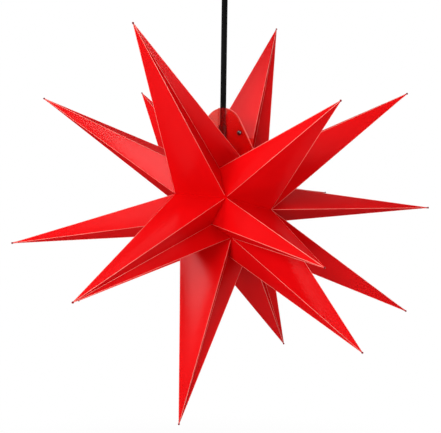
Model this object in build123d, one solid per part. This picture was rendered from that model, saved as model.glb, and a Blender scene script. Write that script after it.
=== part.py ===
"""Fold-flat eighteen-point star pendant, hung by a cord from a small ceiling rose.

The star is an accordion: twelve sheets of red plastic, each cut flat as half a row of three
points, creased, and joined edge to edge round a fold axis that lies level (along X).  Two
neighbouring sheets make one column of points, an upper, a middle and a lower one, and six
columns make the ball.  The closing seam is at the top, where two rounded tabs are pressed
together round the neck of the lampholder that carries the star.

Units are millimetres and degrees.  The origin is on the ceiling, above the cord; +Z is up.
+X runs along the fold axis, and the first column is on the -Y side of the closing seam.
"""
from build123d import *
import math
import os

# ---- star -----------------------------------------------------------------------------------
STAR_CENTRE_Z = -325.0          # below the ceiling
SHEET = 0.8                     # plastic thickness
MIDDLE_REACH = 275.0            # fold axis to the tip of a middle point: 550 across
UPPER_REACH = 262.0             # centre to the tip of a point on the +X side
LOWER_REACH = 259.0             # centre to the tip of a point on the -X side
UPPER_LATITUDE = 52.0           # of the upper tips, from the middle plane
POLE = 70.0                     # centre to either end of the fold axis
VALLEY_RADIUS = 52.0            # fold axis to the valley between two columns
VALLEY_HALF = 36.0              # half of that valley's level stretch
NOTCH_RADIUS = 64.0             # fold axis to the notch between two points of a column
NOTCH_OFFSET = 23.0             # of the notch from the middle plane

# How the sheets hang in the photographed star: its columns, counted from the closing seam
# towards -Y and round underneath, are not quite evenly fanned, upright or equally long.
FAN_ANGLES = (40.0, 104.0, 156.0, 218.0, 270.0, 328.5)
COLUMN_LEANS = (-1.0, 2.0, 3.0, 1.0, 3.0, -1.0)
REACH_FACTORS = (0.975, 1.06, 0.98, 0.99, 1.0, 0.99)
LOWER_LATITUDES = (48.0, 48.0, 58.5, 49.0, 48.0, 48.0)
UPPER_TWISTS = (0.0, -1.2, 3.2, 0.0, 0.0, 0.0)     # of the upper tips, past their column's fan
LOWER_TWISTS = (0.0, 0.0, 12.7, 11.0, 0.0, 0.0)
COLUMNS = len(FAN_ANGLES)

# ---- closing tabs ---------------------------------------------------------------------------
TAB_GAP = 0.2                   # between the two closed tabs
TAB_ROOT_RISE = 2.2             # fold of a tab above the closing seam
TAB_ROOT_HALF = 35.0
TAB_SHOULDER = (45.0, 18.5)     # lower corner of the flank, above the seam
TAB_DOME_RADIUS = 27.5
TAB_DOME_RISE = 41.5
TAB_FLANK_ANGLE = 30.0          # where the dome runs into the flank, above the level
TAB_CHANNEL_RADIUS = 5.4        # half-round channel round neck and cord
TAB_CHANNEL_RISE = 24.0         # its lower end above the seam
EAR_OUTER = 43.5                # small ears of the back tab
EAR_INNER = 33.0
EAR_TOP = 32.5
STUD_SPREAD = 24.0
STUD_RISE = 39.0
STUD_RADIUS = 3.0
STUD_POST_RADIUS = 1.3

# ---- cord and lampholder, heights from the star's centre ---------------------------------------
CORD_RADIUS = 3.65
NECK_RADIUS = 5.0
NECK_TOP = 100.0
NECK_BOTTOM = 40.8
NECK_HOLE_RADIUS = 5.3
NUT_HEIGHT = 3.2
SHOULDER_TOP = 50.4
HOLDER_RADIUS = 14.0
HOLDER_WALL = 2.0
CAP_HEIGHT = 16.4
SHELL_BOTTOM = -1.0
CORD_END = 37.5
SLEEVE_RADIUS = 7.3             # inside of the socket's thread sleeve
SLEEVE_BOTTOM = 2.0
INSERT_BOTTOM = 21.0            # ceramic insert: a flange, and a narrower part above it
INSERT_FLANGE_TOP = 24.0
INSERT_TOP = 29.0
TERMINAL_SPREAD = 6.2
LAMP_BASE_RADIUS = 6.9
LAMP_BASE_WALL = 0.9
LAMP_BASE_TOP = 14.5
LAMP_BASE_BOTTOM = -4.0
LAMP_RADIUS = 13.0
LAMP_BOTTOM = -34.0
STEM_ROD = 1.8

# ---- ceiling rose ---------------------------------------------------------------------------
ROSE_RADIUS = 42.0
ROSE_DEPTH = 38.0
ROSE_WALL = 2.0
BRACKET_HALF = 39.0
BRACKET_HALF_WIDTH = 8.0
BRACKET_THICKNESS = 1.5
BRACKET_EAR = 14.0
SLOT_SPACING = 60.0
SLOT_LENGTH = 12.0
SLOT_WIDTH = 4.5
ROSE_SCREW_Z = -8.0
ROSE_SCREW_RADIUS = 2.0
TONGUE_BOTTOM = -30.0
CLAMP_SCREW_X = 7.1
CLAMP_SCREW_Z = -21.0
BLOCK_WAY_X = 4.2               # the terminal block's two ways
FIRST_SWIVEL_Z = -40.0          # where the cord bends out of its bush
SECOND_SWIVEL_Z = -56.0
CORD_TOP_Z = -12.0
SWING = 12.0                    # of the cord at each swivel, any way
BUSH_SPIGOT = 8.0               # radius of the bush where it sits in the cup's hole
BUSH_LENGTH = 8.0               # of its nose below the cup

# ---- small fittings, plainer where they repeat ------------------------------------------------
FLATS = 12                      # round the sides of screws, their holes and the press studs
WIRE_FLATS = 8
LAMP_FLATS = 24


# ---- helpers --------------------------------------------------------------------------------
def outline(*corners):
    """Flat face from corners given in order."""
    return make_face(Polyline(*corners, close=True))


def turned(*corners, base=0.0):
    """Solid turned about the cord's axis from (radius, height above base) corners."""
    section = outline(*[(radius, base + height) for radius, height in corners])
    return revolve(Plane.XZ * section, Axis.Z)


def rod(radius, low, high):
    """Upright round bar between two heights."""
    return Pos(0, 0, (low + high) / 2) * Cylinder(radius, high - low)


def block(x_span, y_span, z_span):
    """Box between three pairs of limits."""
    spans = (x_span, y_span, z_span)
    middle = [(low + high) / 2 for low, high in spans]
    return Pos(*middle) * Box(*[high - low for low, high in spans])


def pin(radius, low, high, sides=FLATS):
    """Upright bar for small fittings that repeat, with flats in place of its round side."""
    return Pos(0, 0, low) * extrude(RegularPolygon(radius, sides), high - low)


def around(radius, sides=LAMP_FLATS):
    """Corner radius of the polygon whose flats touch a circle from outside."""
    return radius / math.cos(math.pi / sides)


def flat(*corners):
    """Flat face through points in space."""
    return Face(Wire.make_polygon(corners, close=True))


def closed(faces):
    """Solid inside a closed set of faces."""
    solid = Solid(Shell(faces))
    return solid if solid.volume > 0 else Solid(Shell([-face for face in faces]))


def stacked(sides, *corners, base=0.0):
    """Flat-sided solid about the cord's axis, from (radius, height above base) corners."""
    rings = []
    for radius, height in corners:
        turns = [2 * math.pi * k / sides for k in range(sides)]
        rings.append([Vector(radius * math.cos(turn), radius * math.sin(turn), base + height)
                      for turn in turns])
    faces = [flat(*rings[0]), flat(*rings[-1])]
    for one, other in zip(rings, rings[1:]):
        faces += [flat(one[k - 1], one[k], other[k], other[k - 1]) for k in range(sides)]
    return closed(faces)


def screw(radius, length, head_radius, head_height, slot=0.8):
    """Cheese-head screw with a driver slot: head on +Z above the origin, shank below."""
    head = pin(head_radius, 0, head_height)
    head -= Pos(0, 0, head_height) * Box(2.2 * head_radius, slot, head_height * 0.8)
    return head + pin(radius, -length, 0)


def bent_wire(radius, *points):
    """Thin wire along straight runs with mitred bends."""
    path = Polyline(*points)
    start = Plane(origin=path @ 0, z_dir=path % 0)
    section = start * RegularPolygon(radius, WIRE_FLATS)
    return sweep(section, path=path, transition=Transition.RIGHT)


def spin(angle, part):
    """Part turned about the upright axis."""
    return Rot(0, 0, angle) * part


# ---- star sheets ----------------------------------------------------------------------------
def place(radius, along, fan, lean):
    """Point of a column: radius from the fold axis and distance along it, leant and fanned."""
    tilt, turn = math.radians(lean), math.radians(fan)
    out = radius * math.cos(tilt) - along * math.sin(tilt)
    side = radius * math.sin(tilt) + along * math.cos(tilt)
    return Vector(side, -out * math.sin(turn), out * math.cos(turn))


def tip(reach, latitude, fan, lean):
    """Tip of a point at a latitude from the middle plane."""
    angle = math.radians(latitude)
    return place(reach * math.cos(angle), reach * math.sin(angle), fan, lean)


def column_spine(index):
    """Corners that the two sheets of a column share, from the +X pole to the -X pole."""
    fan, lean = FAN_ANGLES[index], COLUMN_LEANS[index]
    middle = MIDDLE_REACH * REACH_FACTORS[index]
    upper_fan, lower_fan = fan + UPPER_TWISTS[index], fan + LOWER_TWISTS[index]
    return {
        "upper_tip": tip(UPPER_REACH, UPPER_LATITUDE, upper_fan, lean),
        "upper_notch": place(NOTCH_RADIUS, NOTCH_OFFSET, fan, lean),
        "middle_tip": place(middle, 0, fan, lean),
        "lower_notch": place(NOTCH_RADIUS, -NOTCH_OFFSET, fan, lean),
        "lower_tip": tip(LOWER_REACH, -LOWER_LATITUDES[index], lower_fan, lean),
    }


def seam_valley(index):
    """Two ends of the level valley before a column; the first valley is the closing seam."""
    if index == 0:
        fan, lean = 0.0, 0.0
    else:
        fan = (FAN_ANGLES[index - 1] + FAN_ANGLES[index]) / 2
        lean = (COLUMN_LEANS[index - 1] + COLUMN_LEANS[index]) / 2
    return {
        "upper_valley": place(VALLEY_RADIUS, VALLEY_HALF, fan, lean),
        "lower_valley": place(VALLEY_RADIUS, -VALLEY_HALF, fan, lean),
    }


SHEET_PANELS = (
    ("upper_pole", "upper_tip", "upper_valley"),
    ("upper_tip", "upper_notch", "upper_valley"),
    ("upper_notch", "middle_tip", "upper_valley"),
    ("middle_tip", "lower_valley", "upper_valley"),
    ("middle_tip", "lower_notch", "lower_valley"),
    ("lower_notch", "lower_tip", "lower_valley"),
    ("lower_tip", "lower_pole", "lower_valley"),
)
SHEET_RIM = ("upper_pole", "upper_tip", "upper_notch", "middle_tip", "lower_notch",
             "lower_tip", "lower_pole", "lower_valley", "upper_valley")


def corner_key(name, column, seam):
    """Name of a corner in the whole star: poles are shared by all, valleys by a seam."""
    if name.endswith("pole"):
        return (name,)
    return (name, "seam", seam) if name.endswith("valley") else (name, "column", column)


def star_corners():
    """Every outer corner of the star, and the sheets as (column, seam, faces outward)."""
    corners = {("upper_pole",): Vector(POLE, 0, 0), ("lower_pole",): Vector(-POLE, 0, 0)}
    sheets = []
    for column in range(COLUMNS):
        for name, point in column_spine(column).items():
            corners[(name, "column", column)] = point
        for name, point in seam_valley(column).items():
            corners[(name, "seam", column)] = point
        sheets.append((column, column, True))
        sheets.append((column, (column + 1) % COLUMNS, False))
    return corners, sheets


def panel_keys(panel, column, seam, flipped):
    """Corner keys of one panel, in an order whose normal points out of the star."""
    keys = [corner_key(name, column, seam) for name in panel]
    return keys[::-1] if flipped else keys


def solve_three(rows, values):
    """Solution of three linear equations by Cramer's rule."""
    def determinant(m):
        return (m[0][0] * (m[1][1] * m[2][2] - m[1][2] * m[2][1])
                - m[0][1] * (m[1][0] * m[2][2] - m[1][2] * m[2][0])
                + m[0][2] * (m[1][0] * m[2][1] - m[1][1] * m[2][0]))
    whole = determinant(rows)
    answer = []
    for column in range(3):
        swapped = [[values[r] if c == column else rows[r][c] for c in range(3)] for r in range(3)]
        answer.append(determinant(swapped) / whole)
    return Vector(*answer)


def inner_corners(corners, sheets):
    """Corners of the inner skin: each lies one sheet thickness inside all panels round it."""
    normals = {key: [] for key in corners}
    for column, seam, flipped in sheets:
        for panel in SHEET_PANELS:
            keys = panel_keys(panel, column, seam, flipped)
            a, b, c = [corners[key] for key in keys]
            normal = (b - a).cross(c - a).normalized()
            for key in keys:
                normals[key].append(normal)
    inner = {}
    for key, around in normals.items():
        around = [tuple(normal) for normal in around]
        rows = [[sum(n[i] * n[j] for n in around) for j in range(3)] for i in range(3)]
        values = [-SHEET * sum(n[i] for n in around) for i in range(3)]
        inner[key] = corners[key] + solve_three(rows, values)
    return inner


def star_sheet(outer, inner, column, seam, flipped):
    """One creased sheet: outer and inner panels, closed by walls round the cut edge."""
    faces = []
    for panel in SHEET_PANELS:
        keys = panel_keys(panel, column, seam, flipped)
        faces.append(flat(*[outer[key] for key in keys]))
        faces.append(flat(*[inner[key] for key in reversed(keys)]))
    rim = [corner_key(name, column, seam) for name in SHEET_RIM]
    for first, second in zip(rim, rim[1:] + rim[:1]):
        if second < first:
            first, second = second, first
        faces.append(flat(outer[first], outer[second], inner[second]))
        faces.append(flat(outer[first], inner[second], inner[first]))
    return closed(faces)


def build_star():
    """Twelve sheets, numbered from the closing seam round the -Y side."""
    outer, sheets = star_corners()
    inner = inner_corners(outer, sheets)
    neck_hole = rod(NECK_HOLE_RADIUS, VALLEY_RADIUS - 12, VALLEY_RADIUS + 12)
    to_place = Pos(0, 0, STAR_CENTRE_Z)
    pieces = {}
    for number, (column, seam, flipped) in enumerate(sheets, start=1):
        sheet = star_sheet(outer, inner, column, seam, flipped)
        if seam == 0:
            sheet = sheet - neck_hole
        pieces[f"star_sheet_{number:02d}"] = to_place * sheet
    return pieces


# ---- closing tabs ---------------------------------------------------------------------------
def tab_outline(with_ears):
    """Bell-shaped tab in the seam's plane, heights from the star's centre."""
    root = VALLEY_RADIUS + TAB_ROOT_RISE
    shoulder_x, shoulder_z = TAB_SHOULDER[0], VALLEY_RADIUS + TAB_SHOULDER[1]
    centre_z = VALLEY_RADIUS + TAB_DOME_RISE
    angle = math.radians(TAB_FLANK_ANGLE)
    join_x = TAB_DOME_RADIUS * math.cos(angle)
    join_z = centre_z + TAB_DOME_RADIUS * math.sin(angle)
    dome = ThreePointArc((join_x, join_z), (0, centre_z + TAB_DOME_RADIUS), (-join_x, join_z))
    sides = Polyline((-join_x, join_z), (-shoulder_x, shoulder_z), (-TAB_ROOT_HALF, root),
                     (TAB_ROOT_HALF, root), (shoulder_x, shoulder_z), (join_x, join_z))
    face = make_face([dome, sides])
    if with_ears:
        width, height = EAR_OUTER - EAR_INNER, EAR_TOP - TAB_SHOULDER[1] + 4
        for side in (1, -1):
            centre = (side * (EAR_OUTER + EAR_INNER) / 2, VALLEY_RADIUS + EAR_TOP - height / 2)
            face += Pos(*centre) * Rectangle(width, height)
    return face


def closure_tab(side, with_ears, hole_radius):
    """One tab: flat plate on its side of the seam (-1 front, +1 back) with half the channel."""
    face = tab_outline(with_ears)
    near = side * TAB_GAP / 2
    plate = extrude(Plane.XZ.offset(-near) * face, -side * SHEET)
    reach = TAB_CHANNEL_RADIUS + SHEET
    slab = extrude(Plane.XZ.offset(-near) * face, -side * reach)
    tab = plate + (slab & rod(reach, VALLEY_RADIUS + TAB_CHANNEL_RISE, NECK_TOP + 40))
    tab -= rod(TAB_CHANNEL_RADIUS, VALLEY_RADIUS, NECK_TOP + 40)
    for x in (-STUD_SPREAD, STUD_SPREAD):
        tab -= Pos(x, 0, VALLEY_RADIUS + STUD_RISE) * Rot(90, 0, 0) * pin(hole_radius, -10, 10)
    return Pos(0, 0, STAR_CENTRE_Z) * tab


def stud_place(x):
    return Pos(x, 0, STAR_CENTRE_Z + VALLEY_RADIUS + STUD_RISE)


def build_closure():
    """Front and back tab, with the two halves of each press stud."""
    face_y = TAB_GAP / 2 + SHEET
    socket_bore = STUD_POST_RADIUS + 0.4
    cap = stacked(FLATS, (STUD_RADIUS, 0), (STUD_RADIUS * 0.85, 0.9), (STUD_RADIUS * 0.45, 1.4))
    cap += pin(STUD_POST_RADIUS, -face_y - 1.5, 0)
    socket = pin(STUD_RADIUS, 0, 1.6) - pin(socket_bore, -1, 1)
    to_front = Pos(0, -face_y, 0) * Rot(90, 0, 0)
    to_back = Pos(0, face_y, 0) * Rot(-90, 0, 0)
    spread = (-STUD_SPREAD, STUD_SPREAD)
    return {
        "closure_tab_front": closure_tab(-1, False, STUD_POST_RADIUS),
        "closure_tab_back": closure_tab(1, True, socket_bore),
        "press_stud_caps": [stud_place(x) * to_front * cap for x in spread],
        "press_stud_sockets": [stud_place(x) * to_back * socket for x in spread],
    }


# ---- lampholder and lamp --------------------------------------------------------------------
def build_neck():
    """Threaded neck tube that the cord comes down through, its lock nut and the cord's grip."""
    base = STAR_CENTRE_Z
    bore = CORD_RADIUS + 0.05
    neck = turned((bore, NECK_BOTTOM), (NECK_RADIUS, NECK_BOTTOM), (NECK_RADIUS, NECK_TOP),
                  (bore, NECK_TOP), base=base)
    nut_top = SHOULDER_TOP - HOLDER_WALL
    nut = extrude(Pos(0, 0, base + nut_top) * RegularPolygon(8.0, 6), -NUT_HEIGHT)
    nut -= pin(around(NECK_RADIUS), base + NECK_BOTTOM, base + nut_top + 1, LAMP_FLATS)
    low, high = base + CORD_END, base + NECK_BOTTOM
    grip = pin(6.6, low, high - 0.2, LAMP_FLATS) - pin(around(bore), low - 1, high, LAMP_FLATS)
    grip -= block((0, 8), (-0.4, 0.4), (low - 1, high))
    return {"neck_tube": neck, "neck_lock_nut": nut, "cord_grip_collar": grip}


def build_holder():
    """Two-piece black lampholder with its ceramic insert, terminals, sleeve and contact."""
    base = STAR_CENTRE_Z
    radius, wall = HOLDER_RADIUS, HOLDER_WALL
    joint = SHOULDER_TOP - CAP_HEIGHT
    spigot = radius - wall - 0.05
    cap = turned((NECK_RADIUS, SHOULDER_TOP), (radius - 1.2, SHOULDER_TOP),
                 (radius, SHOULDER_TOP - 1.2), (radius, joint), (radius - wall, joint),
                 (radius - wall, SHOULDER_TOP - wall), (NECK_RADIUS, SHOULDER_TOP - wall),
                 base=base)
    cap -= grip_grooves(base + joint, base + SHOULDER_TOP - 3)
    throat, bore, seat = spigot - 1.5, radius - wall + 0.4, INSERT_FLANGE_TOP + 0.1
    shell = turned((radius, SHELL_BOTTOM), (radius, joint), (spigot, joint),
                   (spigot, joint + 4.5), (throat, joint + 4.5), (throat, seat), (bore, seat),
                   (bore, SHELL_BOTTOM), base=base)
    low, flange, high = base + INSERT_BOTTOM, base + INSERT_FLANGE_TOP, base + INSERT_TOP
    insert = pin(bore - 0.1, low, flange, LAMP_FLATS) + pin(throat - 0.1, flange, high, LAMP_FLATS)
    sleeve = pin(SLEEVE_RADIUS + 0.6, base + SLEEVE_BOTTOM, low, LAMP_FLATS)
    sleeve -= pin(SLEEVE_RADIUS, base + SLEEVE_BOTTOM - 1, low + 1, LAMP_FLATS)
    leaf = outline((-6, 0), (-6, -0.5), (-3.2, -0.5), (0.2, -3.0), (1.8, -3.0), (2.7, -2.3),
                   (2.4, -2.0), (1.6, -2.6), (0.4, -2.6), (-3, 0))
    contact = Pos(0, 0, low) * extrude(Plane.XZ.offset(-2) * leaf, 4)
    screw_radius, screw_length = 1.4, 4.5
    terminal = screw(screw_radius, screw_length, 2.6, 1.8)
    spread = (-TERMINAL_SPREAD, TERMINAL_SPREAD)
    screws = [Pos(x, 0, high) * terminal for x in spread]
    for x in spread:
        insert -= Pos(x, 0, high) * pin(screw_radius, -screw_length, 1)
    wires = [bent_wire(0.9, (side * 1.8, 0, base + CORD_END), (side * 1.8, 0, base + 34.4),
                       (side * 5.4, 0, base + 32.3)) for side in (-1, 1)]
    return {"holder_cap": cap, "holder_shell": shell, "holder_insert": insert,
            "thread_sleeve": sleeve, "centre_contact": contact,
            "holder_terminal_screws": screws, "holder_core_wires": wires}


def grip_grooves(low, high):
    """Ring of shallow V grooves cut down the side of the cap."""
    count, depth, cutter = 8, 0.7, 1.4
    one = Pos(HOLDER_RADIUS - depth + cutter, 0, 0) * pin(cutter, low - 1, high, sides=4)
    return [spin(360 * k / count, one) for k in range(count)]


def build_lamp():
    """Small screw lamp: plain-sided base, insulator and tip, clear bulb, stem and filaments."""
    base = STAR_CENTRE_Z
    r, top, bottom = LAMP_BASE_RADIUS, LAMP_BASE_TOP, LAMP_BASE_BOTTOM
    inner = r - LAMP_BASE_WALL
    screw_base = turned((inner, bottom), (r, bottom), (r, top), (inner, top), base=base)
    insulator = stacked(LAMP_FLATS, (inner, top - 1), (inner, top), (2.5, top + 2.4), base=base)
    tip_contact = pin(2.2, base + top + 2.4, base + top + 3.2)
    return {"lamp_base": screw_base, "lamp_insulator": insulator, "lamp_tip": tip_contact,
            "lamp_bulb": lamp_bulb(base), "lamp_stem": lamp_stem(base),
            "lamp_filaments": lamp_filaments(base)}


def lamp_bulb(base):
    """Round glass with a neck, open where it stands in the base."""
    neck, wall = LAMP_BASE_RADIUS - LAMP_BASE_WALL, 0.7
    top, lower = LAMP_BASE_BOTTOM + 3, LAMP_BASE_BOTTOM - 2
    skins = []
    for inset in (0.0, wall):
        ball = LAMP_RADIUS - inset
        corners = [(neck - inset, top), (neck - inset, lower)]
        for angle in (42, 18, -8, -35, -62, -86):
            turn = math.radians(angle)
            height = LAMP_BOTTOM + LAMP_RADIUS + ball * math.sin(turn)
            corners.append((ball * math.cos(turn), height))
        skins.append(stacked(LAMP_FLATS, *corners, base=base))
    return skins[0] - skins[1]


def lamp_stem(base):
    """Glass flare on the bulb's neck, drawn down to the rod that carries the filaments."""
    rim, flare, waist = LAMP_BASE_BOTTOM + 3, LAMP_BASE_RADIUS - LAMP_BASE_WALL - 0.1, 3.2
    return stacked(FLATS, (flare, rim + 1), (flare, rim), (waist, rim), (waist, rim - 4),
                   (STEM_ROD, rim - 8), (STEM_ROD, LAMP_BOTTOM + 8), base=base)


def lamp_filaments(base):
    """Four straight filament strips on the flats of the stem's rod."""
    thickness, width, length = 0.7, 1.5, 14.0
    face = STEM_ROD * math.cos(math.pi / FLATS)
    strip = Pos(face + thickness / 2, 0, base - 18) * Box(thickness, width, length)
    return [spin(90 * k + 45, strip) for k in range(4)]


# ---- cord -----------------------------------------------------------------------------------
def build_cord():
    """The pulled-tight cord in three stretches, parted where it bends as the star swings."""
    r = CORD_RADIUS
    end = STAR_CENTRE_Z + CORD_END
    gap = r * math.sin(math.radians(SWING)) + 0.3
    print(f"cord: one straight run of {CORD_TOP_Z - end:.1f} mm, pulled tight, so no bend radii")
    return {"cord_tail": rod(r, FIRST_SWIVEL_Z + gap, CORD_TOP_Z),
            "cord_bend": rod(r, SECOND_SWIVEL_Z + gap, FIRST_SWIVEL_Z),
            "pendant_cord": rod(r, end, SECOND_SWIVEL_Z)}


# ---- ceiling rose ---------------------------------------------------------------------------
def build_rose():
    """Bracket on the ceiling, cup over it, its side screws and the bush for the cord."""
    return {"ceiling_bracket": ceiling_bracket(), "canopy_cup": canopy_cup(),
            "canopy_screws": canopy_screws(), "outlet_bush": outlet_bush()}


def ceiling_bracket():
    """Steel strip with turned-down ears, two slots and a tongue for the cord clamp."""
    t, half, width = BRACKET_THICKNESS, BRACKET_HALF, BRACKET_HALF_WIDTH
    outer = fillet_top(Pos(0, -BRACKET_EAR / 2) * Rectangle(2 * half, BRACKET_EAR), 2.5)
    gap = Pos(0, -BRACKET_EAR / 2 - t) * Rectangle(2 * (half - t), BRACKET_EAR)
    strip = extrude(Plane.XZ.offset(-width) * (outer - fillet_top(gap, 1.0)), 2 * width)
    for x in (-SLOT_SPACING / 2, SLOT_SPACING / 2):
        slot = Pos(x, 0, -t - 1) * extrude(SlotOverall(SLOT_LENGTH, SLOT_WIDTH), t + 2)
        strip -= slot
    strip -= Pos(0, 0, ROSE_SCREW_Z) * Rot(0, 90, 0) * pin(ROSE_SCREW_RADIUS, -half - 2, half + 2)
    tongue = block((-9, 9), (CORD_RADIUS + 0.05, CORD_RADIUS + 0.05 + t), (TONGUE_BOTTOM, -t))
    tongue -= block((-6, 6), (0, 10), (-11, -4))
    return strip + tongue - clamp_holes(1.5)


def clamp_holes(radius):
    """Cutters for the two level screws of the cord clamp."""
    bore = Rot(90, 0, 0) * pin(radius, -40, 40)
    return [Pos(x, 0, CLAMP_SCREW_Z) * bore for x in (-CLAMP_SCREW_X, CLAMP_SCREW_X)]


def fillet_top(face, radius):
    """Face with its two upper corners rounded."""
    return fillet(face.vertices().group_by(Axis.Y)[-1], radius)


def canopy_cup():
    """Round black cup with a bevelled shoulder, a cord hole and two side screw holes."""
    r, depth, wall = ROSE_RADIUS, ROSE_DEPTH, ROSE_WALL
    bevel = 2.4
    cup = turned((r, 0), (r, bevel - depth), (r - bevel, -depth), (BUSH_SPIGOT, -depth),
                 (BUSH_SPIGOT, wall - depth), (r - wall, wall - depth), (r - wall, 0))
    return cup - Pos(0, 0, ROSE_SCREW_Z) * Rot(0, 90, 0) * pin(2.2, -r - 2, r + 2)


def canopy_screws():
    """Two side screws through the cup into the bracket's ears."""
    one = Rot(0, 90, 0) * screw(ROSE_SCREW_RADIUS, 8.0, 3.8, 2.2)
    one = Pos(ROSE_RADIUS + 0.05, 0, ROSE_SCREW_Z) * one
    return [one, spin(180, one)]


def outlet_bush():
    """Bush in the cup's hole: a tapered nose with flats, and a mouth flared for the swing."""
    floor, mouth = -ROSE_DEPTH, -ROSE_DEPTH - BUSH_LENGTH
    bore, flare_depth = CORD_RADIUS + 0.35, FIRST_SWIVEL_Z - mouth
    flare = bore + flare_depth * math.tan(math.radians(SWING + 3))
    nose = stacked(LAMP_FLATS, (BUSH_SPIGOT + 3, floor), (BUSH_SPIGOT, mouth))
    nose -= stacked(LAMP_FLATS, (around(bore), FIRST_SWIVEL_Z), (around(flare), mouth))
    return nose + rod(BUSH_SPIGOT, floor, floor + 5) - rod(bore, mouth, floor + 5)


def build_terminals():
    """Cord clamp on the bracket's tongue and the terminal block behind it."""
    face_y = CORD_RADIUS + 0.05
    back_y = face_y + BRACKET_THICKNESS
    foot = 1.2
    low, high = -26.0, -16.0
    saddle = rod(face_y + foot, low, high)
    saddle = saddle & block((-9, 9), (-9, face_y), (low, high))
    saddle += block((-9, 9), (face_y - foot, face_y), (low, high))
    saddle -= rod(face_y, low - 1, high + 1)
    saddle -= block((-face_y, face_y), (0, face_y + 1), (low - 1, high + 1))
    saddle -= clamp_holes(1.5)
    one = Rot(90, 0, 0) * screw(1.5, 6.0, 2.1, 1.6)
    clamp_screws = [Pos(x, face_y - foot, CLAMP_SCREW_Z) * one
                    for x in (-CLAMP_SCREW_X, CLAMP_SCREW_X)]
    deep = 12.0
    body = block((-8.5, 8.5), (back_y, back_y + deep), (-29, -14))
    body = body - block((-0.8, 0.8), (back_y + 4, back_y + deep + 1), (-30, -13))
    body -= block((-8.6, -5.4), (back_y - 1, back_y + 4), (-23, -19))
    body -= block((5.4, 8.6), (back_y - 1, back_y + 4), (-23, -19))
    way_y = back_y + 6.5
    ways, screws = [], []
    for x in (-BLOCK_WAY_X, BLOCK_WAY_X):
        ways.append(block((x - 1.4, x + 1.4), (way_y - 1.4, way_y + 1.4), (-30, -13)))
        for z in (-17.5, -25.5):
            ways.append(Pos(x, back_y + deep, z) * Rot(90, 0, 0) * pin(1.6, -1, 6))
            screws.append(Pos(x, back_y + deep - 0.6, z) * Rot(-90, 0, 0) * grub_screw())
    body -= ways
    wires = [bent_wire(1.0, (side * 1.7, 0, CORD_TOP_Z), (side * 1.7, 0, -9.0),
                       (side * 2.1, 1.8, -7.2), (side * (BLOCK_WAY_X - 0.4), way_y - 1.8, -7.2),
                       (side * BLOCK_WAY_X, way_y, -9.0), (side * BLOCK_WAY_X, way_y, -15))
             for side in (-1, 1)]
    return {"cord_clamp": saddle, "clamp_screws": clamp_screws, "terminal_block": body,
            "terminal_screws": screws, "rose_core_wires": wires}


def grub_screw():
    """Small slotted grub screw with its outer end at the origin, along -Z."""
    return pin(1.55, -3.4, 0) - Box(4, 0.7, 1.2)


# ---- output ---------------------------------------------------------------------------------
def main():
    os.makedirs("parts", exist_ok=True)
    pieces = {}
    for section in (build_rose, build_terminals, build_cord, build_neck, build_holder,
                    build_lamp, build_star, build_closure):
        pieces.update(section())
    for name, piece in pieces.items():
        solids = piece if isinstance(piece, list) else [piece]
        flat = [solid for part in solids for solid in part.solids()]
        shape = flat[0] if len(flat) == 1 else Compound(children=flat)
        export_step(shape, f"parts/{name}.step")
    print(f"{len(pieces)} nodes written")


main()
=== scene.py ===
"""Looks of the fold-flat star pendant: its creased red sheets, closing tabs, cord and fittings.

Everything is in metres in the frame of the solids: the ceiling is z = 0, +Z is up, and +X runs
along the star's fold axis.  The sheets are built again here from the star's corners, because
real ones are slightly bowed between their creases; the two at the closing seam stay flat.
"""
import math

import bmesh
import bpy
from mathutils import Matrix, Vector


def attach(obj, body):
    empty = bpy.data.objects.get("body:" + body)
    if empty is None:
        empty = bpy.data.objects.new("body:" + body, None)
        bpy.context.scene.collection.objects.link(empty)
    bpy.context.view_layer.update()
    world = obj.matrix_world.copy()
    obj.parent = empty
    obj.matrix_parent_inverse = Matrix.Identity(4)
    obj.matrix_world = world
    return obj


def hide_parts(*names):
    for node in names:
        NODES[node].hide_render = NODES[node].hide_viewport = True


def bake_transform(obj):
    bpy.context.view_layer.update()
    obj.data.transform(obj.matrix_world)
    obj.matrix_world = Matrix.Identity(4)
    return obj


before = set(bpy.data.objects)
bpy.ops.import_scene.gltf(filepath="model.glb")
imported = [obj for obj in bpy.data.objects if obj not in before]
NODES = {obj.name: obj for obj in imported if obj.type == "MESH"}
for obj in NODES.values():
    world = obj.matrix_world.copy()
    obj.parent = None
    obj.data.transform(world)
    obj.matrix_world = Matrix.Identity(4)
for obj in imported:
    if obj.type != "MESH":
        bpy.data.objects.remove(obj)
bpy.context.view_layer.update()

# ---- star, as in the part's source ----------------------------------------------------------
STAR_CENTRE = Vector((0, 0, -0.325))
SHEET = 0.0008
MIDDLE_REACH = 0.275
UPPER_REACH, UPPER_LATITUDE = 0.262, 52.0
LOWER_REACH = 0.259
POLE = 0.070
VALLEY_RADIUS, VALLEY_HALF = 0.052, 0.036
NOTCH_RADIUS, NOTCH_OFFSET = 0.064, 0.023
NECK_HOLE_RADIUS, NECK_HOLE_SIDES = 0.0053, 48
NECK_CUTTER_HALF = 0.012        # how far the hole's cutter stands out on both sides of the seam
FAN_ANGLES = (40.0, 104.0, 156.0, 218.0, 270.0, 328.5)
COLUMN_LEANS = (-1.0, 2.0, 3.0, 1.0, 3.0, -1.0)
REACH_FACTORS = (0.975, 1.06, 0.98, 0.99, 1.0, 0.99)
LOWER_LATITUDES = (48.0, 48.0, 58.5, 49.0, 48.0, 48.0)
UPPER_TWISTS = (0.0, -1.2, 3.2, 0.0, 0.0, 0.0)
LOWER_TWISTS = (0.0, 0.0, 12.7, 11.0, 0.0, 0.0)
COLUMNS = len(FAN_ANGLES)
SEAM_SHEETS = (1, 12)           # left flat, so that the folded tabs clear them

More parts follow.
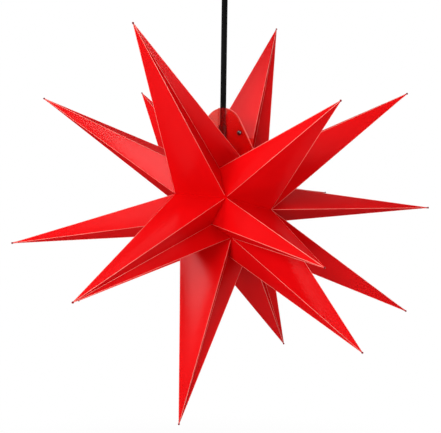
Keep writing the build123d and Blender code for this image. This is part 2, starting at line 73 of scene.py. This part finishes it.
BOW = 0.0016                    # how far the largest panel bulges at its middle
PATCH_STEPS = 14                # divisions of a panel's side
RIDGE_RADIUS = 0.00028          # pale line where a fold or weld has whitened the plastic
RIDGE_GAP = 0.0035              # from a line's end to the valley
TIP_RADIUS = 0.0012             # blunt end of a point
SHEET_SPLIT_ANGLE = 20          # degrees between faces that shade apart
SOLID_SPLIT_ANGLE = 28
WELD_DISTANCE = 1e-6

# ---- closing tabs, as in the part's source --------------------------------------------------
TAB_FACE = 0.0009               # outer face of a closed tab, from the seam's plane
TAB_SHOULDER = (0.045, 0.0185)
TAB_DOME_RADIUS, TAB_DOME_RISE = 0.0275, 0.0415
TAB_RIM_ANGLES = (30, 38, 46, 54, 62, 70, 78)      # pale part of the dome's edge

# ---- cord and swivels, as in the part's source ----------------------------------------------
CORD_RADIUS = 0.00365
CORD_TOP, CORD_BOTTOM = -0.012, -0.2875
BUSH_MOUTH = -0.046
CORD_SIDES = 24
INNER_RINGS, OUTER_RINGS = 34, 160

# ---- surface grain --------------------------------------------------------------------------
NOISE_LOW, NOISE_HIGH = 0.3, 0.7        # where nearly all of a noise texture's values lie
BUMP_DEPTH = 0.0002
SHEET_DRIFT, SHEET_GRAIN, SHEET_BUMP = 9.0, 260.0, 0.012
WIRE_GRAIN, GLASS_GRAIN = 700.0, 60.0

# ---- room and light -------------------------------------------------------------------------
FLOOR_HEIGHT, FLOOR_HALF = -1.35, 6.0
FLOOR_GREY = (0.86, 0.86, 0.86, 1)
FLOOR_FADE = (0.9, 2.1, 0.75, 1.0)      # distances, and the share of plain white at each
AMBIENT = 0.10
# Name, azimuth and elevation from the photograph's camera, distance, size and power.
SOFTBOXES = (
    ("key", -22, 12, 1.15, 0.40, 6.0),
    ("left", -63, 20, 1.15, 0.40, 5.0),
    ("high", -21, 57, 1.15, 0.40, 1.8),
    ("high_left", -104, 57, 1.15, 0.40, 2.5),
    ("low_left", -35, -35, 1.15, 0.45, 2.2),
    ("front_right", 35, 5, 1.15, 0.45, 2.0),
    ("right", 58, 2, 1.15, 0.36, 3.6),
    ("top", 35, 72, 1.15, 0.45, 1.5),
    ("back", 180, 30, 1.90, 1.50, 11.0),
)

# ---- camera, fitted to the photograph -------------------------------------------------------
PHOTO_WIDTH, PHOTO_HEIGHT = 441, 433
CAMERA_AZIMUTH, CAMERA_ELEVATION, CAMERA_ROLL = 32.094, 5.791, -0.822
CAMERA_DISTANCE = 0.9996
FOCAL_PIXELS = 801.5
STAR_CENTRE_PIXEL = (221.74, 205.79)
SENSOR_WIDTH, CLIP_START = 36.0, 0.01


# ---- camera ---------------------------------------------------------------------------------
def make_camera():
    """Camera at the photograph's angle, aimed so that the star's centre is at its pixel."""
    azimuth, elevation = math.radians(CAMERA_AZIMUTH), math.radians(CAMERA_ELEVATION)
    back = Vector((math.sin(azimuth) * math.cos(elevation),
                   -math.cos(azimuth) * math.cos(elevation), math.sin(elevation)))
    right = Vector((math.cos(azimuth), math.sin(azimuth), 0))
    facing = Matrix((right, back.cross(right), back))
    yaw = math.atan((STAR_CENTRE_PIXEL[0] - PHOTO_WIDTH / 2) / FOCAL_PIXELS)
    pitch = math.atan((STAR_CENTRE_PIXEL[1] - PHOTO_HEIGHT / 2) / FOCAL_PIXELS)
    turned = (Matrix.Rotation(-pitch, 3, "X") @ Matrix.Rotation(-yaw, 3, "Y")
              @ Matrix.Rotation(math.radians(CAMERA_ROLL), 3, "Z") @ facing)
    data = bpy.data.cameras.new("photo_camera")
    data.sensor_width = SENSOR_WIDTH
    data.lens = FOCAL_PIXELS * data.sensor_width / PHOTO_WIDTH
    data.clip_start = CLIP_START
    camera = bpy.data.objects.new("photo_camera", data)
    bpy.context.scene.collection.objects.link(camera)
    place = Matrix.Translation(STAR_CENTRE + CAMERA_DISTANCE * back)
    camera.matrix_world = place @ turned.transposed().to_4x4()
    bpy.context.scene.camera = camera


# ---- materials ------------------------------------------------------------------------------
def new_material(name):
    """Empty node material: (material, nodes, links, principled shader, object coordinates)."""
    material = bpy.data.materials.new(name)
    material.use_nodes = True
    tree = material.node_tree
    shader = tree.nodes["Principled BSDF"]
    coordinates = tree.nodes.new("ShaderNodeTexCoord").outputs["Object"]
    return material, tree.nodes, tree.links, shader, coordinates


def noise(nodes, links, coordinates, scale, detail=3.0, stretch=(1, 1, 1)):
    """Noise value in object coordinates, at a scale per metre, stretched by direction."""
    mapping = nodes.new("ShaderNodeMapping")
    mapping.inputs["Scale"].default_value = stretch
    links.new(coordinates, mapping.inputs["Vector"])
    texture = nodes.new("ShaderNodeTexNoise")
    texture.inputs["Scale"].default_value = scale
    texture.inputs["Detail"].default_value = detail
    links.new(mapping.outputs["Vector"], texture.inputs["Vector"])
    return texture.outputs["Fac"]


def spread(nodes, links, value, low, high):
    """Noise value spread over low..high."""
    remap = nodes.new("ShaderNodeMapRange")
    remap.inputs["From Min"].default_value = NOISE_LOW
    remap.inputs["From Max"].default_value = NOISE_HIGH
    remap.inputs["To Min"].default_value = low
    remap.inputs["To Max"].default_value = high
    links.new(value, remap.inputs["Value"])
    return remap.outputs["Result"]


def blend_colours(nodes, links, value, first, second):
    """Colour between two, by a value from 0 to 1."""
    mix = nodes.new("ShaderNodeMix")
    mix.data_type = "RGBA"
    mix.inputs["A"].default_value = (*first, 1)
    mix.inputs["B"].default_value = (*second, 1)
    links.new(value, mix.inputs["Factor"])
    return mix.outputs["Result"]


def add_bump(nodes, links, shader, height, strength):
    """Fine relief from a height, given to the shader; returns its normal."""
    bump = nodes.new("ShaderNodeBump")
    bump.inputs["Strength"].default_value = strength
    bump.inputs["Distance"].default_value = BUMP_DEPTH
    links.new(height, bump.inputs["Height"])
    links.new(bump.outputs["Normal"], shader.inputs["Normal"])
    return bump.outputs["Normal"]


def plain_material(name, first, second, roughness, metallic=0.0, specular=0.5, scale=120.0,
                   grain=900.0, bump=0.15, stretch=(1, 1, 1)):
    """Material with slow colour drift, varied roughness and a fine surface grain."""
    material, nodes, links, shader, coordinates = new_material(name)
    drift = noise(nodes, links, coordinates, scale)
    links.new(blend_colours(nodes, links, spread(nodes, links, drift, 0, 1), first, second),
              shader.inputs["Base Color"])
    fine = noise(nodes, links, coordinates, grain, 2.0, stretch)
    links.new(spread(nodes, links, fine, *roughness), shader.inputs["Roughness"])
    shader.inputs["Metallic"].default_value = metallic
    shader.inputs["Specular IOR Level"].default_value = specular
    add_bump(nodes, links, shader, fine, bump)
    return material


def mix_shaders(nodes, links, share, first, second):
    """Mix of two shader outputs; the share is of the second."""
    mix = nodes.new("ShaderNodeMixShader")
    mix.inputs[0].default_value = share
    links.new(first, mix.inputs[1])
    links.new(second, mix.inputs[2])
    return mix.outputs["Shader"]


def see_through_plastic(name, first, second, roughness, gloss, glow, clear=0.0, tint=None):
    """Coloured plastic sheet with a low even gloss, which light passes scattered or straight.

    The glow is the share of scattered light; at each face the clear share goes straight
    through, times the tint.
    """
    material, nodes, links, shader, coordinates = new_material(name)
    drift = noise(nodes, links, coordinates, SHEET_DRIFT, 2.0)
    colour = blend_colours(nodes, links, spread(nodes, links, drift, 0, 1), first, second)
    links.new(colour, shader.inputs["Base Color"])
    fine = noise(nodes, links, coordinates, SHEET_GRAIN, 2.0)
    rough = spread(nodes, links, fine, *roughness)
    links.new(rough, shader.inputs["Roughness"])
    shader.inputs["Specular IOR Level"].default_value = 0.0
    normal = add_bump(nodes, links, shader, fine, SHEET_BUMP)
    through = nodes.new("ShaderNodeBsdfTranslucent")
    links.new(colour, through.inputs["Color"])
    links.new(normal, through.inputs["Normal"])
    surface = mix_shaders(nodes, links, glow, shader.outputs["BSDF"], through.outputs["BSDF"])
    shine = nodes.new("ShaderNodeBsdfGlossy")
    shine.inputs["Color"].default_value = (1, 1, 1, 1)
    links.new(rough, shine.inputs["Roughness"])
    links.new(normal, shine.inputs["Normal"])
    surface = mix_shaders(nodes, links, gloss, surface, shine.outputs["BSDF"])
    if clear:
        straight = nodes.new("ShaderNodeBsdfTransparent")
        straight.inputs["Color"].default_value = (*tint, 1)
        surface = mix_shaders(nodes, links, clear, surface, straight.outputs["BSDF"])
    links.new(surface, nodes["Material Output"].inputs["Surface"])
    return material


def two_wires_material():
    """Insulation of two cores: brown on the +X side and blue on the -X side."""
    material, nodes, links, shader, coordinates = new_material("core_insulation")
    split = nodes.new("ShaderNodeSeparateXYZ")
    links.new(coordinates, split.inputs["Vector"])
    side = nodes.new("ShaderNodeMath")
    side.operation = "GREATER_THAN"
    side.inputs[1].default_value = 0.0
    links.new(split.outputs["X"], side.inputs[0])
    links.new(blend_colours(nodes, links, side.outputs["Value"], (0.02, 0.10, 0.42),
                            (0.18, 0.06, 0.02)), shader.inputs["Base Color"])
    fine = noise(nodes, links, coordinates, WIRE_GRAIN)
    links.new(spread(nodes, links, fine, 0.3, 0.42), shader.inputs["Roughness"])
    return material


def glass_material():
    """Clear glass of the lamp's bulb and stem."""
    material, nodes, links, shader, coordinates = new_material("lamp_glass")
    shader.inputs["Base Color"].default_value = (0.97, 0.98, 0.98, 1)
    shader.inputs["Transmission Weight"].default_value = 1.0
    fine = noise(nodes, links, coordinates, GLASS_GRAIN)
    links.new(spread(nodes, links, fine, 0.0, 0.03), shader.inputs["Roughness"])
    shader.inputs["IOR"].default_value = 1.45
    return material


MATERIALS = {
    "star_red": see_through_plastic("star_red", (0.76, 0.002, 0.003), (0.84, 0.004, 0.006),
                                    (0.20, 0.25), 0.007, 0.10),
    "tab_red": see_through_plastic("tab_red", (0.82, 0.002, 0.003), (0.90, 0.004, 0.005),
                                   (0.22, 0.28), 0.008, 0.8, 0.72, (0.96, 0.70, 0.66)),
    "ridge": plain_material("ridge_whitened", (0.96, 0.18, 0.15), (0.98, 0.31, 0.26),
                            (0.35, 0.5), specular=0.1, scale=60.0),
    "tip": plain_material("tip_red", (0.16, 0.0, 0.004), (0.26, 0.0, 0.006), (0.4, 0.5),
                          specular=0.1),
    "black": plain_material("black_plastic", (0.008, 0.008, 0.009), (0.014, 0.014, 0.015),
                            (0.38, 0.5), specular=0.35, grain=1600.0),
    "rubber": plain_material("cord_rubber", (0.002, 0.002, 0.002), (0.004, 0.004, 0.004),
                             (0.5, 0.65), specular=0.03, grain=2200.0, stretch=(1, 1, 0.15)),
    "steel": plain_material("zinc_steel", (0.55, 0.55, 0.54), (0.66, 0.66, 0.64), (0.3, 0.45),
                            metallic=1.0, grain=500.0, stretch=(0.1, 3, 3)),
    "brass": plain_material("brass", (0.72, 0.52, 0.22), (0.80, 0.60, 0.28), (0.22, 0.34),
                            metallic=1.0),
    "stud": plain_material("stud_dark", (0.02, 0.004, 0.004), (0.04, 0.008, 0.008),
                           (0.12, 0.2), specular=0.6, bump=0.05),
    "aluminium": plain_material("lamp_metal", (0.66, 0.66, 0.67), (0.74, 0.74, 0.75),
                                (0.22, 0.32), metallic=1.0),
    "ceramic": plain_material("ceramic", (0.78, 0.76, 0.70), (0.84, 0.82, 0.77), (0.5, 0.65)),
    "pale": plain_material("pale_plastic", (0.72, 0.71, 0.67), (0.78, 0.77, 0.73),
                           (0.35, 0.45)),
    "dark_glass": plain_material("dark_glass", (0.02, 0.02, 0.03), (0.03, 0.03, 0.04),
                                 (0.08, 0.15)),
    "filament": plain_material("filament", (0.80, 0.60, 0.15), (0.88, 0.68, 0.22), (0.5, 0.6)),
    "wires": two_wires_material(),
    "glass": glass_material(),
}

NODE_MATERIALS = {
    "ceiling_bracket": "steel", "canopy_cup": "black", "canopy_screws": "steel",
    "outlet_bush": "black", "cord_clamp": "black", "clamp_screws": "steel",
    "terminal_block": "pale", "terminal_screws": "brass", "rose_core_wires": "wires",
    "neck_tube": "black", "neck_lock_nut": "steel", "cord_grip_collar": "black",
    "holder_cap": "black", "holder_shell": "black", "holder_insert": "ceramic",
    "thread_sleeve": "brass", "centre_contact": "brass", "holder_terminal_screws": "brass",
    "holder_core_wires": "wires", "lamp_base": "aluminium", "lamp_insulator": "dark_glass",
    "lamp_tip": "steel", "lamp_bulb": "glass", "lamp_stem": "glass",
    "lamp_filaments": "filament", "closure_tab_front": "tab_red",
    "closure_tab_back": "tab_red", "press_stud_caps": "stud", "press_stud_sockets": "stud",
}


def dress_nodes():
    """Materials and smooth shading for the solids that show as they are."""
    for name, key in NODE_MATERIALS.items():
        node = NODES[name]
        node.data.materials.clear()
        node.data.materials.append(MATERIALS[key])
        node.data.polygons.foreach_set("use_smooth", [True] * len(node.data.polygons))
        weld = node.modifiers.new("weld", "WELD")
        weld.merge_threshold = WELD_DISTANCE
        split = node.modifiers.new("split", "EDGE_SPLIT")
        split.split_angle = math.radians(SOLID_SPLIT_ANGLE)


# ---- helpers for new pieces -----------------------------------------------------------------
def finish_piece(name, mesh, key, body):
    """Smooth object from a bmesh, with its material and slot, riding on a body if one is named."""
    data = bpy.data.meshes.new(name)
    mesh.to_mesh(data)
    mesh.free()
    data.materials.append(MATERIALS[key])
    data.polygons.foreach_set("use_smooth", [True] * len(data.polygons))
    piece = bpy.data.objects.new(name, data)
    bpy.context.scene.collection.objects.link(piece)
    if body:
        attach(piece, body)
    return piece


def add_bar(mesh, start, end, radius, sides=8):
    """Straight round bar from start to end, closed at both ends."""
    along = (end - start).normalized()
    across = along.orthogonal().normalized()
    other = along.cross(across)
    rings = []
    for centre in (start, end):
        ring = []
        for k in range(sides):
            angle = 2 * math.pi * k / sides
            offset = (across * math.cos(angle) + other * math.sin(angle)) * radius
            ring.append(mesh.verts.new(centre + offset))
        rings.append(ring)
    for k in range(sides):
        nxt = (k + 1) % sides
        mesh.faces.new((rings[0][k], rings[0][nxt], rings[1][nxt], rings[1][k]))
    mesh.faces.new(rings[0][::-1])
    mesh.faces.new(rings[1])


# ---- star -----------------------------------------------------------------------------------
def place(radius, along, fan, lean):
    """Point of a column: radius from the fold axis and distance along it, leant and fanned."""
    tilt, turn = math.radians(lean), math.radians(fan)
    out = radius * math.cos(tilt) - along * math.sin(tilt)
    side = radius * math.sin(tilt) + along * math.cos(tilt)
    return STAR_CENTRE + Vector((side, -out * math.sin(turn), out * math.cos(turn)))


def point_tip(reach, latitude, fan, lean):
    """End of a star point, at its reach from the centre and its angle to the column's middle."""
    angle = math.radians(latitude)
    return place(reach * math.cos(angle), reach * math.sin(angle), fan, lean)


def column_corners(index):
    """Corners on a column's spine between the poles: the tips of its points and the notches."""
    fan, lean = FAN_ANGLES[index], COLUMN_LEANS[index]
    upper_fan, lower_fan = fan + UPPER_TWISTS[index], fan + LOWER_TWISTS[index]
    return {
        "upper_tip": point_tip(UPPER_REACH, UPPER_LATITUDE, upper_fan, lean),
        "upper_notch": place(NOTCH_RADIUS, NOTCH_OFFSET, fan, lean),
        "middle_tip": place(MIDDLE_REACH * REACH_FACTORS[index], 0, fan, lean),
        "lower_notch": place(NOTCH_RADIUS, -NOTCH_OFFSET, fan, lean),
        "lower_tip": point_tip(LOWER_REACH, -LOWER_LATITUDES[index], lower_fan, lean),
    }


def seam_corners(index):
    """Ends of the level valley before a column; the first valley is the closing seam."""
    if index == 0:
        fan, lean = 0.0, 0.0
    else:
        fan = (FAN_ANGLES[index - 1] + FAN_ANGLES[index]) / 2
        lean = (COLUMN_LEANS[index - 1] + COLUMN_LEANS[index]) / 2
    return {"upper_valley": place(VALLEY_RADIUS, VALLEY_HALF, fan, lean),
            "lower_valley": place(VALLEY_RADIUS, -VALLEY_HALF, fan, lean)}


# Panels of a sheet, each with the share of the bow that it takes.
SHEET_PANELS = (
    ("upper_pole", "upper_tip", "upper_valley", 0.35),
    ("upper_tip", "upper_notch", "upper_valley", 0.25),
    ("upper_notch", "middle_tip", "upper_valley", 0.08),
    ("middle_tip", "lower_valley", "upper_valley", 1.0),
    ("middle_tip", "lower_notch", "lower_valley", 0.08),
    ("lower_notch", "lower_tip", "lower_valley", 0.25),
    ("lower_tip", "lower_pole", "lower_valley", 0.35),
)
SHEET_RIDGES = (("upper_tip", "upper_valley"), ("middle_tip", "upper_valley"),
                ("middle_tip", "lower_valley"), ("lower_tip", "lower_valley"))
SPINE_RIDGES = (("upper_pole", "upper_tip"), ("upper_tip", "upper_notch"),
                ("upper_notch", "middle_tip"), ("middle_tip", "lower_notch"),
                ("lower_notch", "lower_tip"), ("lower_tip", "lower_pole"))


def add_panel(mesh, made, corners, bow):
    """Triangular patch with a straight rim, bulging by the bow at its middle, where 27uvw is 1.

    Points that panels share are made once.
    """
    a, b, c = corners
    normal = (b - a).cross(c - a).normalized()
    steps = PATCH_STEPS

    def vertex(i, j):
        u, v = i / steps, j / steps
        w = 1 - u - v
        point = a * w + b * u + c * v + normal * (bow * 27 * u * v * w)
        key = tuple(round(value, 7) for value in point)
        if key not in made:
            made[key] = mesh.verts.new(point)
        return made[key]

    for i in range(steps):
        for j in range(steps - i):
            mesh.faces.new((vertex(i, j), vertex(i + 1, j), vertex(i, j + 1)))
            if i + j < steps - 1:
                mesh.faces.new((vertex(i + 1, j), vertex(i + 1, j + 1), vertex(i, j + 1)))


def cut_neck_hole(piece):
    """Round hole for the lampholder's neck through a sheet of the closing seam."""
    cutter_mesh = bmesh.new()
    top = STAR_CENTRE + Vector((0, 0, VALLEY_RADIUS + NECK_CUTTER_HALF))
    bottom = STAR_CENTRE + Vector((0, 0, VALLEY_RADIUS - NECK_CUTTER_HALF))
    add_bar(cutter_mesh, bottom, top, NECK_HOLE_RADIUS, NECK_HOLE_SIDES)
    data = bpy.data.meshes.new("neck_cutter")
    cutter_mesh.to_mesh(data)
    cutter_mesh.free()
    cutter = bpy.data.objects.new("neck_cutter", data)
    bpy.context.scene.collection.objects.link(cutter)
    hole = piece.modifiers.new("neck_hole", "BOOLEAN")
    hole.operation = "DIFFERENCE"
    hole.object = cutter
    apply_modifiers(piece)
    bpy.data.objects.remove(cutter)


def apply_modifiers(piece):
    """Modifiers made part of the mesh."""
    evaluated = piece.evaluated_get(bpy.context.evaluated_depsgraph_get())
    data = bpy.data.meshes.new_from_object(evaluated)
    piece.modifiers.clear()
    piece.data = data


def make_star():
    """Twelve sheets with the pale lines of their folds and welds, and the blunt tips."""
    poles = {"upper_pole": STAR_CENTRE + Vector((POLE, 0, 0)),
             "lower_pole": STAR_CENTRE + Vector((-POLE, 0, 0))}
    number = 0
    for column in range(COLUMNS):
        spine = column_corners(column)
        for side in (0, 1):
            number += 1
            corners = {**poles, **spine, **seam_corners((column + side) % COLUMNS)}
            make_sheet(number, corners, side == 0)
        make_spine(column + 1, {**poles, **spine})


def make_sheet(number, corners, flipped):
    """One sheet and the pale lines along its outward folds; seam sheets are flat for the tabs."""
    mesh, made = bmesh.new(), {}
    bow = 0.0 if number in SEAM_SHEETS else BOW
    for *names, share in SHEET_PANELS:
        panel = [corners[name] for name in names]
        add_panel(mesh, made, panel[::-1] if flipped else panel, bow * share)
    piece = finish_piece(f"sheet_{number:02d}", mesh, "star_red", None)
    thick = piece.modifiers.new("thickness", "SOLIDIFY")
    thick.thickness = SHEET
    thick.offset = -1.0
    if number in SEAM_SHEETS:
        cut_neck_hole(piece)
    creases = piece.modifiers.new("creases", "EDGE_SPLIT")
    creases.split_angle = math.radians(SHEET_SPLIT_ANGLE)
    apply_modifiers(piece)
    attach(piece, "star")
    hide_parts(f"star_sheet_{number:02d}")
    lines = bmesh.new()
    for start, end in SHEET_RIDGES:
        run = corners[end] - corners[start]
        add_bar(lines, corners[start], corners[end] - RIDGE_GAP * run.normalized(), RIDGE_RADIUS)
    finish_piece(f"fold_lines_{number:02d}", lines, "ridge", "star")


def make_spine(number, corners):
    """Weld lines along a column's outward spine and the blunt ends of its three points."""
    lines = bmesh.new()
    for start, end in SPINE_RIDGES:
        add_bar(lines, corners[start], corners[end], RIDGE_RADIUS)
    finish_piece(f"weld_lines_{number}", lines, "ridge", "star")
    ends = bmesh.new()
    for name in ("upper_tip", "middle_tip", "lower_tip"):
        inward = (STAR_CENTRE - corners[name]).normalized()
        ball = bmesh.ops.create_icosphere(ends, subdivisions=2, radius=TIP_RADIUS)["verts"]
        bmesh.ops.translate(ends, verts=ball, vec=corners[name] + inward * TIP_RADIUS)
    finish_piece(f"tip_ends_{number}", ends, "tip", "star")


def make_tab_rims():
    """Pale line along the cut edge of each tab."""
    for side, body in ((-1, "front_tab"), (1, "back_tab")):
        rim = bmesh.new()
        path = [TAB_SHOULDER]
        for degrees in TAB_RIM_ANGLES:
            angle = math.radians(degrees)
            path.append((TAB_DOME_RADIUS * math.cos(angle),
                         TAB_DOME_RISE + TAB_DOME_RADIUS * math.sin(angle)))
        points = [STAR_CENTRE + Vector((x, side * TAB_FACE, VALLEY_RADIUS + z))
                  for x, z in path]
        for start, end in zip(points, points[1:]):
            add_bar(rim, start, end, RIDGE_RADIUS)
        finish_piece(f"{body}_rim", rim, "ridge", body)


# ---- cord -----------------------------------------------------------------------------------
def cord_tube(name, high, low, rings):
    """Round tube straight down the axis between two heights."""
    mesh = bmesh.new()
    angles = [2 * math.pi * s / CORD_SIDES for s in range(CORD_SIDES)]
    loops = []
    for k in range(rings + 1):
        height = high + (low - high) * k / rings
        loops.append([mesh.verts.new((CORD_RADIUS * math.cos(angle),
                                      CORD_RADIUS * math.sin(angle), height))
                      for angle in angles])
    for upper, lower in zip(loops, loops[1:]):
        for s in range(CORD_SIDES):
            nxt = (s + 1) % CORD_SIDES
            mesh.faces.new((upper[s], lower[s], lower[nxt], upper[nxt]))
    mesh.faces.new(loops[0])
    mesh.faces.new(loops[-1][::-1])
    return finish_piece(name, mesh, "rubber", None)


def make_cord():
    """Taut cord in two pieces that meet in the bush's mouth."""
    inner = cord_tube("cord_in_rose", CORD_TOP, BUSH_MOUTH, INNER_RINGS)
    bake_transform(inner)
    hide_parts("cord_tail")
    outer = cord_tube("cord_hanging", BUSH_MOUTH, CORD_BOTTOM, OUTER_RINGS)
    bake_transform(outer)
    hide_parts("cord_bend", "pendant_cord")


# ---- room and light -------------------------------------------------------------------------
def white_to_camera(nodes, links, lit, share=None):
    """Mix of a lit shader with plain white, which camera, glossy and see-through rays find.

    The share of white that they find is 1, or the value of the share socket.
    """
    rays = nodes.new("ShaderNodeLightPath")
    seen = nodes.new("ShaderNodeMath")
    seen.operation = "MAXIMUM"
    links.new(rays.outputs["Is Camera Ray"], seen.inputs[0])
    links.new(rays.outputs["Is Transmission Ray"], seen.inputs[1])
    either = nodes.new("ShaderNodeMath")
    either.operation = "MAXIMUM"
    links.new(seen.outputs["Value"], either.inputs[0])
    links.new(rays.outputs["Is Glossy Ray"], either.inputs[1])
    part = nodes.new("ShaderNodeMath")
    part.operation = "MULTIPLY"
    part.inputs[1].default_value = 1.0
    links.new(either.outputs["Value"], part.inputs[0])
    if share:
        links.new(share, part.inputs[1])
    white = nodes.new("ShaderNodeEmission" if lit.node.bl_idname != "ShaderNodeBackground"
                      else "ShaderNodeBackground")
    white.inputs["Color"].default_value = (1, 1, 1, 1)
    white.inputs["Strength"].default_value = 1.0
    mix = nodes.new("ShaderNodeMixShader")
    links.new(part.outputs["Value"], mix.inputs[0])
    links.new(lit, mix.inputs[1])
    links.new(white.outputs[0], mix.inputs[2])
    return mix.outputs["Shader"]


def make_floor():
    """Plain pale floor well below the hanging star."""
    mesh = bmesh.new()
    mesh.faces.new([mesh.verts.new((x * FLOOR_HALF, y * FLOOR_HALF, 0))
                    for x, y in ((-1, -1), (1, -1), (1, 1), (-1, 1))])
    data = bpy.data.meshes.new("floor")
    mesh.to_mesh(data)
    mesh.free()
    material, nodes, links, shader, coordinates = new_material("floor")
    shader.inputs["Base Color"].default_value = FLOOR_GREY
    shader.inputs["Roughness"].default_value = 0.8
    distance = nodes.new("ShaderNodeVectorMath")
    distance.operation = "LENGTH"
    links.new(coordinates, distance.inputs[0])
    fade = nodes.new("ShaderNodeMapRange")
    fade.interpolation_type = "SMOOTHSTEP"
    for name, value in zip(("From Min", "From Max", "To Min", "To Max"), FLOOR_FADE):
        fade.inputs[name].default_value = value
    links.new(distance.outputs["Value"], fade.inputs["Value"])
    links.new(white_to_camera(nodes, links, shader.outputs["BSDF"], fade.outputs["Result"]),
              nodes["Material Output"].inputs["Surface"])
    data.materials.append(material)
    floor = bpy.data.objects.new("floor", data)
    floor.location = (0, 0, FLOOR_HEIGHT)
    bpy.context.scene.collection.objects.link(floor)


def make_world():
    """White surroundings to the eye, and an even soft light on the object."""
    world = bpy.data.worlds.new("studio")
    bpy.context.scene.world = world
    world.use_nodes = True
    nodes, links = world.node_tree.nodes, world.node_tree.links
    background = nodes["Background"]
    background.inputs["Color"].default_value = (1, 1, 1, 1)
    background.inputs["Strength"].default_value = AMBIENT
    links.new(white_to_camera(nodes, links, background.outputs[0]),
              nodes["World Output"].inputs["Surface"])


def add_softbox(name, azimuth, elevation, distance, size, power):
    """Square area light facing the star, at angles counted from the photograph's camera."""
    data = bpy.data.lights.new(name, "AREA")
    data.shape = "SQUARE"
    data.size = size
    data.energy = power
    lamp = bpy.data.objects.new(name, data)
    bpy.context.scene.collection.objects.link(lamp)
    turn, rise = math.radians(CAMERA_AZIMUTH + azimuth), math.radians(elevation)
    offset = distance * Vector((math.sin(turn) * math.cos(rise),
                                -math.cos(turn) * math.cos(rise), math.sin(rise)))
    lamp.location = STAR_CENTRE + offset
    lamp.rotation_euler = offset.to_track_quat("Z", "Y").to_euler()


make_camera()
make_cord()
dress_nodes()
make_star()
make_tab_rims()
make_floor()
make_world()
for softbox in SOFTBOXES:
    add_softbox(*softbox)

view = bpy.context.scene.view_settings
view.view_transform = "Standard"
